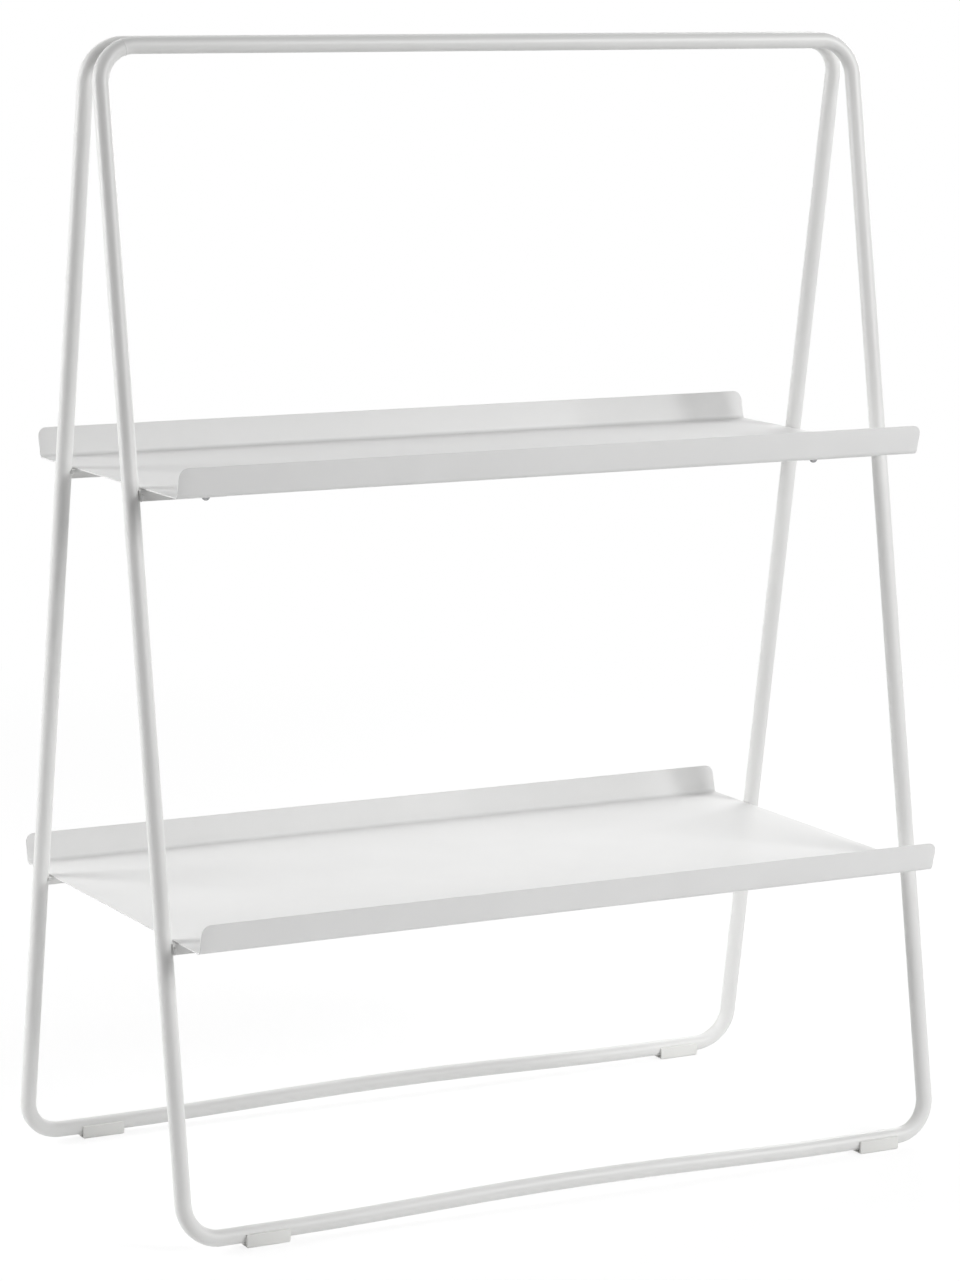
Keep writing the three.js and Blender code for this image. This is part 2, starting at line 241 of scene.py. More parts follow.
# %% [markdown]
# ## The white satin coat
#
# Frame and trays are powder-coated: a dry paint is blown on and melts in an oven to a film about
# 0.08 mm thick. It is never quite flat. It keeps a fine ripple like orange peel, with a slower
# swell below it, and its gloss changes a little where the film is thick or was handled. The trays
# get a duller coat than the frame, so that a low lamp doesn't mirror in their floors.
# The ripple goes into the shading as a height of a few thousandths of a millimetre. The film's
# thickness moves the white by one per cent either way, as much as the eye just notices.

# %% The powder coat
SWELL_SIZE = 11.0
FILM_PATCH = 85.0  # size of the patches where the film is thinner or thicker
HANDLED_PATCH = 42.0
GRAIN_SIZE = 0.9
THIN_FILM = 0.986  # how white the coat is where it is thin, against the written colour
THICK_FILM = 1.006


def powder_coat(name, colour, roughness, peel_size, peel_height, swell_height):
    """A white film with orange peel, a slow swell and uneven gloss."""
    coat = Finish(name)
    peel = coat.noise(peel_size, detail=1.5)
    swell = coat.noise(SWELL_SIZE, detail=1.0)
    coat.relief((peel - 0.5) * peel_height + (swell - 0.5) * swell_height)

    film = coat.noise(FILM_PATCH, detail=3.0)
    thin = tuple(channel * THIN_FILM for channel in colour)
    thick = tuple(channel * THICK_FILM for channel in colour)
    white = coat.between(coat.step(film, 0.3, 0.7), thin, thick)
    coat.plug(coat.shader.inputs["Base Color"], white)

    handled = coat.step(coat.noise(HANDLED_PATCH, detail=4.0), 0.52, 0.75)
    grain = coat.noise(GRAIN_SIZE, detail=1.0)
    coat.set(Roughness=roughness + (film - 0.5) * 0.12 + handled * 0.05 + (grain - 0.5) * 0.06)
    coat.set(IOR=1.5)
    return coat.owner


finish_of_slot = {m["slot"]: m for m in frame["record"]["materials"]}
frame_white = finish_of_slot["frame_paint"]["base_color"]
tray_white = finish_of_slot["tray_paint"]["base_color"]
frame_coat = powder_coat("frame_coat", frame_white, 0.4, 1.5, 0.010, 0.012)
tray_coat = powder_coat("tray_coat", tray_white, 0.6, 1.8, 0.010, 0.016)
print("coats:", frame_coat.name, tray_coat.name)

# %% [markdown]
# ## Bright zinc
#
# Nuts, washers and studs are turned steel with a thin zinc plating. Turning leaves fine rings
# around the axis. Above wet plants the plating dulls in small patches. All of it is also drawn
# darker, as painted shade for the shade that the nuts mirror under the trays.
# The rings need a distance from the axis, so each of these pieces keeps its own origin on its
# axis, and the finish stretches a noise along nothing but the radius and the height.

# %% The zinc plating
SHADED_ZINC_SHARE = 0.62  # painted shade: the plating is drawn at this share of its written colour
CLOUDED_SHADED_ZINC_SHARE = 0.42  # and at this share where it has clouded over, the same painted shade included
TURNING_RINGS = 0.16
DULL_PATCH = 2.4


def zinc_plating():
    """Plated steel with turning marks round the Z axis of each piece, darkened as painted shade."""
    plating = Finish("zinc_plating")
    sockets = {0: plating.stretched(1, 1, 0)}
    radius = plating.node("ShaderNodeVectorMath", {"operation": "LENGTH"}, sockets, output="Value")
    split = {"Vector": plating.places()}
    height = plating.node("ShaderNodeSeparateXYZ", {}, split, output="Z")
    along = plating.node("ShaderNodeCombineXYZ", {}, {"X": radius, "Z": height})
    turning = plating.noise(TURNING_RINGS, detail=2.0, places=along)
    dull = plating.step(plating.noise(DULL_PATCH, detail=3.0), 0.45, 0.72)
    fresh = finish_of_slot["zinc"]["base_color"]
    # painted shade: both tones of the plating are darkened for the shade that the nuts mirror
    bright = tuple(channel * SHADED_ZINC_SHARE for channel in fresh)
    clouded = tuple(channel * CLOUDED_SHADED_ZINC_SHARE for channel in fresh)
    plating.plug(plating.shader.inputs["Base Color"], plating.between(dull, bright, clouded))
    plating.set(Metallic=1.0, Roughness=0.24 + dull * 0.16 + (turning - 0.5) * 0.14)
    plating.relief((turning - 0.5) * 0.004)
    return plating.owner


zinc = zinc_plating()
print("plating:", zinc.name)

# %% [markdown]
# ## Moulded plastic
#
# The glides are injection moulded, so their surface is a copy of a spark-eroded mould: an even,
# very fine grain with little gloss. They are a slightly greyer, warmer white than the coat.
# The underside rubs on the floor. There the grain is polished away in scratches along the rail,
# so a mask that rises in the lowest two millimetres makes it smoother. The same mask makes it a
# little darker: partly the scuffs' own grey, partly painted shade where the glide meets the floor.

# %% The glide plastic
SCUFF_AND_SHADE_FROM = 0.4 * MM  # heights above the floor between which the scuffing and the painted shade fade out
SCUFF_AND_SHADE_TO = 2.2 * MM
ALONG_RAIL = (0.06, 1, 1)  # scratches run along X, so that axis is squeezed
# share of the colour kept at the bottom: the scuffs' grey and a painted shade along the floor
RUBBED_AND_SHADED = 0.8


def glide_plastic():
    """Moulded plastic with an eroded grain, rubbed smooth near the floor and darkened there, partly
    as painted shade.
    """
    plastic = Finish("moulded_plastic")
    split = {"Vector": plastic.places()}
    height = plastic.node("ShaderNodeSeparateXYZ", {}, split, output="Z")
    low = 1 - plastic.step(height, SCUFF_AND_SHADE_FROM, SCUFF_AND_SHADE_TO)
    scratches = plastic.noise(0.5, detail=2.0, places=plastic.stretched(*ALONG_RAIL))
    scuff_and_shade = low * plastic.step(scratches, 0.45, 0.6)
    colour = finish_of_slot["glide_plastic"]["base_color"]
    # painted shade, with the scuffs' own grey: darker in the lowest two millimetres
    rubbed_and_shaded = tuple(channel * RUBBED_AND_SHADED for channel in colour)
    plastic.plug(plastic.shader.inputs["Base Color"], plastic.between(scuff_and_shade, colour, rubbed_and_shaded))
    grain = plastic.noise(0.35, detail=2.0)
    plastic.set(Roughness=0.52 + (grain - 0.5) * 0.1 - scuff_and_shade * 0.12, IOR=1.46)
    plastic.relief((grain - 0.5) * 0.008 - scuff_and_shade * 0.01)
    return plastic.owner


plastic = glide_plastic()
print("plastic:", plastic.name)

# %% [markdown]
# ## From numbers to a piece
#
# Nearly every piece here is a skin over a row of cross-sections: a tube is a row of circles along
# its centre line, an angle bracket is its outline pushed along X, a nut is a row of rings.
# So one function joins neighbouring rings with faces, and one more turns the result into an
# object with smooth shading that stays sharp where two faces meet at a steep angle.

# %% Skins over rings
def skin(rings, closed=False):
    """Points and faces over a row of equal rings. An open row gets a face over each end."""
    count = len(rings[0])
    points = [point for ring in rings for point in ring]
    faces = []
    for i in range(len(rings) if closed else len(rings) - 1):
        here = i * count
        there = (i + 1) % len(rings) * count
        for j in range(count):
            k = (j + 1) % count
            faces.append((here + j, here + k, there + k, there + j))
    if not closed:
        faces.append(tuple(reversed(range(count))))
        last = (len(rings) - 1) * count
        faces.append(tuple(range(last, last + count)))
    return points, faces


# %% Objects from points and faces
SHARP_ANGLE = math.radians(38)


def new_object(name, points, faces, coat=None):
    """An object whose points are given in millimetres, with its faces turned outward."""
    mesh = bpy.data.meshes.new(name)
    mesh.from_pydata([Vector(point) * MM for point in points], [], faces)
    shape = bmesh.new()
    shape.from_mesh(mesh)
    bmesh.ops.recalc_face_normals(shape, faces=shape.faces)
    shape.to_mesh(mesh)
    shape.free()
    made = bpy.data.objects.new(name, mesh)
    bpy.context.scene.collection.objects.link(made)
    if coat:
        mesh.materials.append(coat)
    return made


def smooth(piece):
    """Shades a piece softly, except over steep edges."""
    piece.data.shade_smooth()
    piece.data.set_sharp_from_angle(angle=SHARP_ANGLE)


# %% [markdown]
# ## Modifiers, and what is cut away
#
# A bevel rounds the edges that a maker would break with a file, and a boolean cuts one shape
# from another as a drill does. Both are modifiers here. Each is applied at once, so that the
# piece that is handed on is a plain mesh, and a cutter is removed when it has done its work.

# %% Modifiers that are applied at once
def apply_modifier(piece, kind, **settings):
    """Adds a modifier to a piece, lets it work and keeps only its result."""
    modifier = piece.modifiers.new(kind.lower(), kind)
    for name, value in settings.items():
        setattr(modifier, name, value)
    graph = bpy.context.evaluated_depsgraph_get()
    result = bpy.data.meshes.new_from_object(piece.evaluated_get(graph))
    result.name = piece.name
    piece.modifiers.clear()
    old = piece.data
    piece.data = result
    bpy.data.meshes.remove(old)


def cut_away(piece, *cutters):
    """Cuts the cutters from a piece and removes them."""
    for cutter in cutters:
        apply_modifier(piece, "BOOLEAN", operation="DIFFERENCE", object=cutter, solver="EXACT")
        mesh = cutter.data
        bpy.data.objects.remove(cutter)
        bpy.data.meshes.remove(mesh)


def soften_edges(piece, width, segments=3, steeper_than=35):
    """Rounds every edge that is steeper than an angle, by a width in millimetres."""
    apply_modifier(
        piece, "BEVEL", width=width * MM, segments=segments, limit_method="ANGLE",
        angle_limit=math.radians(steeper_than), miter_outer="MITER_ARC",
    )


# %% [markdown]
# ## Handing a piece over
#
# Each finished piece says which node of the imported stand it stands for. The check below compares
# the two boxes, so a piece that drifted would show up in the print as a large difference.

# %% Handing a piece over
def hand_over(piece, slot, *nodes):
    """Lets a piece ride on the stand, hides the nodes that it stands for and prints how far its box
    is from the first one's. The slot is not used.
    """
    smooth(piece)
    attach(piece, "root")
    if not nodes:
        return
    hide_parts(*nodes)
    corners = [piece.matrix_world @ Vector(corner) / MM for corner in piece.bound_box]
    low, high = box_mm(nodes[0])
    drift = 0.0
    for axis in range(3):
        values = [corner[axis] for corner in corners]
        drift = max(drift, abs(min(values) - low[axis]), abs(max(values) - high[axis]))
    print(f"{piece.name}: {len(piece.data.polygons)} faces, box differs by {drift:.2f} mm at most")


# %% [markdown]
# ## The tube loops
#
# Each loop is one 18 mm steel tube, bent round four dies and butt-welded into a closed ring. Its
# plane leans by about ten degrees. The bottom rail arches up slightly, so that the weight comes
# down near the corners, where the glides are.
# The centre line is drawn flat, as points with a direction, and circles are set across it.
# A bent tube flattens a little in the bend, because its outer wall is stretched and pulled in.

# %% Sizes of the loops
TUBE_DIAMETER = 18.0
TUBE_WALL = 1.5
BEND_RADIUS = 40.0
BEND_FLATTENING = 0.02  # share of the diameter lost halfway round a bend
RAIL_RISE = 5.5
ARCH_HALF = 331.0  # from the middle of the bottom rail to the ends of its arch
DRAIN_DIAMETER = 4.0
DRAIN_FROM_MIDDLE = 150.0
TOP_SPREAD = 28.5  # between the centre lines of the two top bars
FOOT_SPREAD = 447.0  # between the centre lines of the two bottom rails
STAND_HEIGHT = 1250.0

tube_radius = TUBE_DIAMETER / 2
leg_x = loop_high.x - tube_radius
rail_height = 12.6  # of the bottom rails' centre line above the floor
rise = STAND_HEIGHT - tube_radius - rail_height
run = (FOOT_SPREAD - TOP_SPREAD) / 2
loop_height = math.hypot(rise, run)
lean = math.atan2(run, rise)
print(f"legs at x = {leg_x:.1f} mm, lean {math.degrees(lean):.2f} degrees")


def leg_distance(height):
    """Distance of a leg's centre line from the middle plane, at a height above the floor."""
    return FOOT_SPREAD / 2 - (height - rail_height) * run / rise


# %% The centre line of a loop
BEND_STEPS = 24
ARCH_STEPS = 28


def loop_stations():
    """Points of the centre line in X and Z, each with its direction and its flattening."""
    stations = []
    for i in range(ARCH_STEPS + 1):
        t = 2 * i / ARCH_STEPS - 1
        slope = -4 * RAIL_RISE * t * (1 - t * t) / ARCH_HALF
        stations.append((ARCH_HALF * t, RAIL_RISE * (1 - t * t) ** 2, math.atan(slope), 0.0))
    bend_x = leg_x - BEND_RADIUS
    corners = [
        (bend_x, BEND_RADIUS), (bend_x, loop_height - BEND_RADIUS),
        (-bend_x, loop_height - BEND_RADIUS), (-bend_x, BEND_RADIUS),
    ]
    for quarter, (centre_x, centre_z) in enumerate(corners):
        for i in range(BEND_STEPS + 1):
            share = i / BEND_STEPS
            angle = (quarter - 1 + share) * math.pi / 2
            x = centre_x + BEND_RADIUS * math.cos(angle)
            z = centre_z + BEND_RADIUS * math.sin(angle)
            flattening = BEND_FLATTENING * math.sin(math.pi * share) ** 2
            stations.append((x, z, angle + math.pi / 2, flattening))
    return stations


print("stations along a loop:", len(loop_stations()))


# %% A tube along the centre line
def loop_rings(radius, sides):
    """Circles across the centre line. Where the tube is flattened, they turn into ellipses."""
    rings = []
    for x, z, angle, flattening in loop_stations():
        outward = Vector((math.sin(angle), 0, -math.cos(angle)))
        ring = []
        for j in range(sides):
            turn = 2 * math.pi * j / sides
            across = radius * (1 - flattening) * math.cos(turn)
            aside = radius * (1 + flattening / 2) * math.sin(turn)
            ring.append(Vector((x, aside, z)) + across * outward)
        rings.append(ring)
    return rings


def circle(radius, sides, z=0.0):
    """Points of a level circle."""
    turns = [2 * math.pi * j / sides for j in range(sides)]
    return [Vector((radius * math.cos(turn), radius * math.sin(turn), z)) for turn in turns]


def round_bar(name, diameter, start, end, sides=48):
    """A round bar between two points, which is mostly used as a cutter."""
    axis = end - start
    rings = []
    for z in (0.0, axis.length):
        rings.append([
            start + axis.to_track_quat("Z", "Y") @ point for point in circle(diameter / 2, sides, z)
        ])
    return new_object(name, *skin(rings))


# %% Both loops
TUBE_SIDES = 48
BORE_SIDES = 24
DRAIN_SIDES = 24


def tube_loop(side):
    """One leaning loop, hollow, with its drain holes."""
    points, faces = skin(loop_rings(tube_radius, TUBE_SIDES), closed=True)
    loop = new_object(f"{DEPTH_NAME[side]}_tube_loop", points, faces, frame_coat)
    bore = new_object("bore", *skin(loop_rings(tube_radius - TUBE_WALL, BORE_SIDES), closed=True))
    drains = []
    for x in (-DRAIN_FROM_MIDDLE, DRAIN_FROM_MIDDLE):
        below, inside = Vector((x, 0, -TUBE_DIAMETER)), Vector((x, 0, 0))
        drains.append(round_bar("drain", DRAIN_DIAMETER, below, inside, DRAIN_SIDES))
    cut_away(loop, bore, *drains)
    place = Matrix.Translation(Vector((0, side * FOOT_SPREAD / 2, rail_height)) * MM)
    loop.data.transform(place @ Matrix.Rotation(side * lean, 4, "X"))
    hand_over(loop, "frame_paint", f"{DEPTH_NAME[side]}_loop")
    return loop


for side in SIDES:
    tube_loop(side)

# %% [markdown]
# ## Weld beads
#
# A weld is laid as a row of small overlapping puddles, so its surface has ripples. The coat
# covers them and leaves a soft, scaly bead.
# A bead here is a tube along its own path, whose radius swells at every puddle. It is half sunk
# in the pieces that it joins, so only the outer half of it shows.

# %% A weld bead along a path
BEAD_SIDES = 14
PUDDLE = 1.5  # length of one puddle
PUDDLE_SWELL = 0.07  # share of the radius


def smooth_path(points, step, closed=False):
    """Evenly spaced points on a smooth curve through the given ones."""
    count = len(points)
    spans = count if closed else count - 1
    path = []
    for i in range(spans):
        if closed:
            a, b, c, d = (points[(i + k) % count] for k in (-1, 0, 1, 2))
        else:
            b, c = points[i], points[i + 1]
            a = points[i - 1] if i else b * 2 - c
            d = points[i + 2] if i + 2 < count else c * 2 - b
        parts = max(1, round((c - b).length / step))
        for k in range(parts):
            t = k / parts
            along = b * 2 + (c - a) * t + (a * 2 - b * 5 + c * 4 - d) * t * t
            path.append((along + (b * 3 - a - c * 3 + d) * t ** 3) / 2)
    if not closed:
        path.append(points[-1].copy())
    return path


def bead(name, points, radius, closed=False):
    """A rippled weld bead along a path, with round ends."""
    path = smooth_path([Vector(point) for point in points], PUDDLE / 4, closed)
    count = len(path)
    length = 0.0
    total = sum((path[i + 1] - path[i]).length for i in range(count - 1))
    rings = []
    for i, centre in enumerate(path):
        before = path[i - 1] if closed or i else centre
        after = path[(i + 1) % count] if closed or i + 1 < count else centre
        turn = (after - before).to_track_quat("Z", "Y")
        if i:
            length += (centre - path[i - 1]).length
        size = radius * (1 + PUDDLE_SWELL * math.cos(2 * math.pi * length / PUDDLE))
        if not closed:
            to_end = min(length, total - length) / radius
            size *= math.sqrt(max(0.02, 1 - max(0.0, 1 - to_end) ** 2))
        rings.append([centre + turn @ point for point in circle(size, BEAD_SIDES)])
    return new_object(name, *skin(rings, closed), frame_coat)


# %% [markdown]
# ## The seam of each loop
#
# A closed loop starts as a straight tube, whose two ends meet after the fourth bend. The weld that
# joins them is ground nearly flush before the coat goes on, and leaves a low band round the tube.
# On the front loop it sits in the upper left bend, where the photograph shows a slight kink. The
# rear loop is the same part turned round, so its seam is at the right.

# %% Seams
SEAM_TURN = math.radians(18)  # from the end of the top bar into the bend
SEAM_BEAD = 1.5
SEAM_PROUD = 0.28  # how far the ground band still stands out of the tube
SEAM_POINTS = 24


def seam(side):
    """The ground weld round a loop, made in the loop's plane and leaned with it."""
    angle = math.pi / 2 + SEAM_TURN
    outward = Vector((math.cos(angle), 0, math.sin(angle)))
    centre = Vector((BEND_RADIUS - leg_x, 0, loop_height - BEND_RADIUS)) + outward * BEND_RADIUS
    ring_radius = tube_radius + SEAM_PROUD - SEAM_BEAD
    path = []
    for k in range(SEAM_POINTS):
        turn = 2 * math.pi * k / SEAM_POINTS
        across = outward * math.cos(turn) + Vector((0, math.sin(turn), 0))
        path.append(centre + across * ring_radius)
    mirrored = [Vector((side * -point.x, point.y, point.z)) for point in path]
    band = bead(f"{DEPTH_NAME[side]}_loop_seam", mirrored, SEAM_BEAD, closed=True)
    place = Matrix.Translation(Vector((0, side * FOOT_SPREAD / 2, rail_height)) * MM)
    band.data.transform(place @ Matrix.Rotation(side * lean, 4, "X"))
    hand_over(band, "frame_paint")


for side in SIDES:
    seam(side)
print("seams:", len(SIDES))

# %% [markdown]
# ## The spacers between the top bars
#
# Two short bars of 12 mm stock hold the top bars apart. Their ends are cut to fit round the
# tubes, and a weld runs round each end. They are hidden behind the front bar in the photograph.

# %% Spacers and their welds
SPACER_DIAMETER = 12.0
SPACER_X = 381.0
SPACER_BEAD = 1.5
top_height = STAND_HEIGHT - tube_radius


def spacer_bar(side):
    """One spacer, its ends hollowed to the tubes."""
    name = WIDTH_NAME[side]
    at = Vector((side * SPACER_X, 0, top_height))
    reach = Vector((0, TOP_SPREAD / 2, 0))
    bar = round_bar(f"spacer_bar_{name}", SPACER_DIAMETER, at - reach, at + reach, 40)
    bar.data.materials.append(frame_coat)
    for end in SIDES:
        middle = at + end * reach
        half = Vector((TUBE_DIAMETER, 0, 0))
        cut_away(bar, round_bar("tube", TUBE_DIAMETER + 0.1, middle - half, middle + half, 64))
        path = []
        for k in range(16):
            turn = 2 * math.pi * k / 16
            x = (SPACER_DIAMETER / 2 + 0.3) * math.cos(turn)
            z = (SPACER_DIAMETER / 2 + 0.3) * math.sin(turn)
            y = TOP_SPREAD / 2 - math.sqrt(tube_radius ** 2 - z * z) - 0.3
            path.append(at + Vector((x, end * y, z)))
        weld = bead(f"spacer_weld_{DEPTH_NAME[end]}_{name}", path, SPACER_BEAD, closed=True)
        hand_over(weld, "frame_paint")
    hand_over(bar, "frame_paint", f"top_spacer_{name}")


for side in SIDES:
    spacer_bar(side)

# %% [markdown]
# ## The trays
#
# A tray starts as a flat blank of 1.5 mm sheet with its four corners cut round. A press then
# folds both long edges up round a 5 mm bar, to lips that lean out by 14.5 degrees.
# The mesh is made in the same order. A flat grid is the blank, a vertex bevel rounds its corners,
# every point is moved to its place on the fold, a solidify modifier gives the sheet its
# thickness, and a small bevel breaks the cut edge, which catches the light as a thin bright line.

# %% Sizes of the trays
SHEET = 1.5
LIP_HEIGHT = 33.0
LIP_FLARE = math.radians(14.5)
FOLD_RADIUS = 5.0  # inside the fold
LIP_CORNER = 10.0
EDGE_ROUNDING = 0.6
FOLD_STEPS = 14
CORNER_SEGMENTS = 12

fold_turn = math.pi / 2 - LIP_FLARE
fold_middle = FOLD_RADIUS + SHEET / 2  # radius of the sheet's middle in a fold
fold_arc = fold_middle * fold_turn
lip_rise = LIP_HEIGHT - FOLD_RADIUS - SHEET + FOLD_RADIUS * math.cos(fold_turn)
lip_flat = lip_rise / math.sin(fold_turn)
print(f"each lip: {fold_arc:.1f} mm of fold and {lip_flat:.1f} mm of flat sheet")


# %% Blank, fold, thickness and edges
def folded(across, half_floor):
    """Where a point of the blank goes, from its distance to the middle line."""
    sign = math.copysign(1, across)
    past = abs(across) - half_floor
    if past <= 0:
        return across, SHEET / 2
    turn = min(past, fold_arc) / fold_middle
    y = half_floor + fold_middle * math.sin(turn)
    z = SHEET / 2 + fold_middle * (1 - math.cos(turn))
    flat = max(0.0, past - fold_arc)
    return sign * (y + flat * math.cos(fold_turn)), z + flat * math.sin(fold_turn)


def blank_grid(half_length, half_floor):
    """Rows and columns of the flat blank. The corner cells are larger than the corner's radius."""
    columns = [-half_length, -half_length + LIP_CORNER * 1.4]
    columns += [-half_length * 0.8 + half_length * 0.2 * i for i in range(9)]
    columns += [half_length - LIP_CORNER * 1.4, half_length]
    half_rows = [half_floor * share for share in (0.2, 0.6, 0.94, 1.0)]
    half_rows += [half_floor + fold_arc * (i + 1) / FOLD_STEPS for i in range(FOLD_STEPS)]
    half_rows += [half_floor + fold_arc + lip_flat]
    rows = [-row for row in reversed(half_rows)] + half_rows
    return columns, rows


def folded_tray(tier):
    """One tray, made from its blank. Its length, depth and height come from the frame."""
    low, high = box_mm(f"{tier}_tray")
    lip_outside = (FOLD_RADIUS + SHEET) * math.sin(fold_turn) + lip_flat * math.cos(fold_turn)
    half_floor = high.y - lip_outside
    columns, rows = blank_grid(high.x, half_floor)
    points = [(x, y, 0) for y in rows for x in columns]
    width = len(columns)
    faces = []
    for i in range(len(rows) - 1):
        for j in range(width - 1):
            first = i * width + j
            faces.append((first, first + 1, first + width + 1, first + width))
    tray = new_object(f"{tier}_folded_tray", points, faces, tray_coat)

    blank = bmesh.new()
    blank.from_mesh(tray.data)
    corners = [v for v in blank.verts if len(v.link_faces) == 1]
    bmesh.ops.bevel(
        blank, geom=corners, offset=LIP_CORNER * MM, segments=CORNER_SEGMENTS,
        affect="VERTICES", profile=0.5, offset_type="OFFSET",
    )
    for point in blank.verts:
        y, z = folded(point.co.y / MM, half_floor)
        point.co.y = y * MM
        point.co.z = (low.z + z) * MM
    bmesh.ops.recalc_face_normals(blank, faces=blank.faces)
    blank.to_mesh(tray.data)
    blank.free()
    apply_modifier(tray, "SOLIDIFY", thickness=SHEET * MM, offset=0.0, use_even_offset=True)
    soften_edges(tray, EDGE_ROUNDING, steeper_than=60)
    hand_over(tray, "tray_paint", f"{tier}_tray")
    return half_floor


for tier in ("upper", "lower"):
    print(f"{tier} tray: flat floor {2 * folded_tray(tier):.0f} mm deep")

# %% [markdown]
# ## The angle brackets
#
# Eight short angles carry the trays. Each is a rolled section with a rounded heel, a rounded
# inner corner and soft toes, cut to fit round its leg and drilled for a stud.
# The outline is made of arcs, one at each corner, and is pushed along X. At both ends a few more
# outlines, each drawn a little further in, round the sawn edge over. The notch and the hole are
# cut last, and the weld covers the notch's own sharp edge.

# %% Sizes of the brackets
BRACKET_START = 6.0  # from the leg's centre line
BRACKET_LENGTH = 99.0
BRACKET_HALF_WIDTH = 10.0
BRACKET_HEIGHT = 12.0
BRACKET_THICKNESS = 3.0
HEEL_ROUNDING = 1.6
TOE_ROUNDING = 0.8
END_ROUNDING = 0.4
STUD_HOLE = 6.8
CORNER_PARTS = 5
END_PARTS = 3


def rounded_outline(corners):
    """An outline with an arc at each corner, which is given as (y, z, radius)."""
    outline = []
    for i, (y, z, radius) in enumerate(corners):
        here = Vector((y, z))
        before = (Vector(corners[i - 1][:2]) - here).normalized()
        after = (Vector(corners[(i + 1) % len(corners)][:2]) - here).normalized()
        centre = here + (before + after) * radius
        first = -after * radius
        last = -before * radius
        for k in range(CORNER_PARTS + 1):
            turn = math.pi / 2 * k / CORNER_PARTS
            outline.append(centre + first * math.cos(turn) + last * math.sin(turn))
    return outline


def bracket_outline(inset):
    """The section of an angle in Y and Z, with its heel at +Y, drawn a little further in."""
    half, web = BRACKET_HALF_WIDTH, BRACKET_HALF_WIDTH - BRACKET_THICKNESS
    heel, toe, inner = HEEL_ROUNDING - inset, TOE_ROUNDING - inset, HEEL_ROUNDING + inset
    return rounded_outline([
        (half - inset, -inset, heel),
        (inset - half, -inset, toe),
        (inset - half, inset - BRACKET_THICKNESS, toe),
        (web + inset, inset - BRACKET_THICKNESS, inner),
        (web + inset, inset - BRACKET_HEIGHT, toe),
        (half - inset, inset - BRACKET_HEIGHT, toe),
    ])


# %% A bracket in the frame of its leg
def leg_place(tier, side_x, side_y):
    """Where a leg's centre line passes the top of its bracket."""
    top = box_mm(f"{tier}_bracket_{DEPTH_NAME[side_y]}_{WIDTH_NAME[side_x]}")[1].z
    return Vector((side_x * leg_x, side_y * leg_distance(top), top))


def stud_place(tier, side_x, side_y):
    """The middle of a stud's head, from the box of its node."""
    low, high = box_mm(f"{tier}_stud_{DEPTH_NAME[side_y]}_{WIDTH_NAME[side_x]}")
    return Vector(((low.x + high.x) / 2, (low.y + high.y) / 2, high.z))


def angle_bracket(tier, side_x, side_y):
    """A notched and drilled angle under a tray."""
    where = f"{tier}_bracket_{DEPTH_NAME[side_y]}_{WIDTH_NAME[side_x]}"
    origin = leg_place(tier, side_x, side_y)
    ends = []
    for k in range(END_PARTS + 1):
        turn = math.pi / 2 * k / END_PARTS
        ends.append((END_ROUNDING * (1 - math.sin(turn)), END_ROUNDING * (1 - math.cos(turn))))
    far = BRACKET_START + BRACKET_LENGTH
    stations = [(BRACKET_START + x, inset) for inset, x in ends]
    stations += [(far - x, inset) for inset, x in reversed(ends)]
    rings = []
    for x, inset in stations:
        outline = bracket_outline(inset)
        rings.append([origin + Vector((-side_x * x, side_y * y, z)) for y, z in outline])
    bracket = new_object(where + "_angle", *skin(rings), frame_coat)
    slant = Vector((0, -side_y * run / rise, 1)) * TUBE_DIAMETER * 1.5
    leg = round_bar("leg", TUBE_DIAMETER + 0.1, origin - slant, origin + slant, 64)
    stud = stud_place(tier, side_x, side_y)
    reach = Vector((0, 0, BRACKET_HEIGHT))
    drill = round_bar("drill", STUD_HOLE, stud - reach, stud + reach, 32)
    cut_away(bracket, leg, drill)
    hand_over(bracket, "frame_paint", where)


CORNERS = [(tier, x, y) for tier in ("upper", "lower") for y in SIDES for x in SIDES]
for corner in CORNERS:
    angle_bracket(*corner)

# %% [markdown]
# ## The welds on the legs
#
# Each bracket is welded twice: down the outer corner, where the upright flange meets the leg, and
# under the flat flange, along the curve of the leg. The outer bead is the light spot between leg
# and bracket in the photograph.

# %% Bracket welds
OUTER_BEAD = 2.3
INNER_BEAD = 1.9


def bracket_welds(tier, side_x, side_y):
    """The outer and the inner weld bead of a bracket."""
    origin = leg_place(tier, side_x, side_y)
    where = f"{tier}_weld_{DEPTH_NAME[side_y]}_{WIDTH_NAME[side_x]}"

    def on_leg(across, z, gap):
        """A point beside the leg's wall, at a distance across from its leaning centre line."""
        centre = -z * run / rise
        x = math.sqrt(max(0.0, (tube_radius + gap) ** 2 - across ** 2))
        return origin + Vector((-side_x * x, side_y * (centre + across), z))

    outer = []
    for k in range(5):
        z = -3.4 - 9.0 * k / 4
        x = BRACKET_START + 2.1
        outer.append(origin + Vector((-side_x * x, side_y * (BRACKET_HALF_WIDTH - 0.9), z)))
    hand_over(bead(where + "_outer", outer, OUTER_BEAD), "frame_paint")
    inner = [on_leg(across, -BRACKET_THICKNESS - 0.6, 0.8) for across in (5.5, 3, 0, -3, -6, -8.6)]
    hand_over(bead(where + "_inner", inner, INNER_BEAD), "frame_paint")


for corner in CORNERS:
    bracket_welds(*corner)
print("bracket welds:", 2 * len(CORNERS))

# %% [markdown]
# ## Studs, washers and cap nuts
#
# A threaded stud is welded under the tray at each bracket. It passes through the bracket, and a
# washer and a domed cap nut hold it from below. All three are round about one axis, so they are
# turned: a profile of radius and height goes round in steps. A nut's radius is also limited by
# its six flats, which cut the turned chamfer into the curved edges that every nut has.

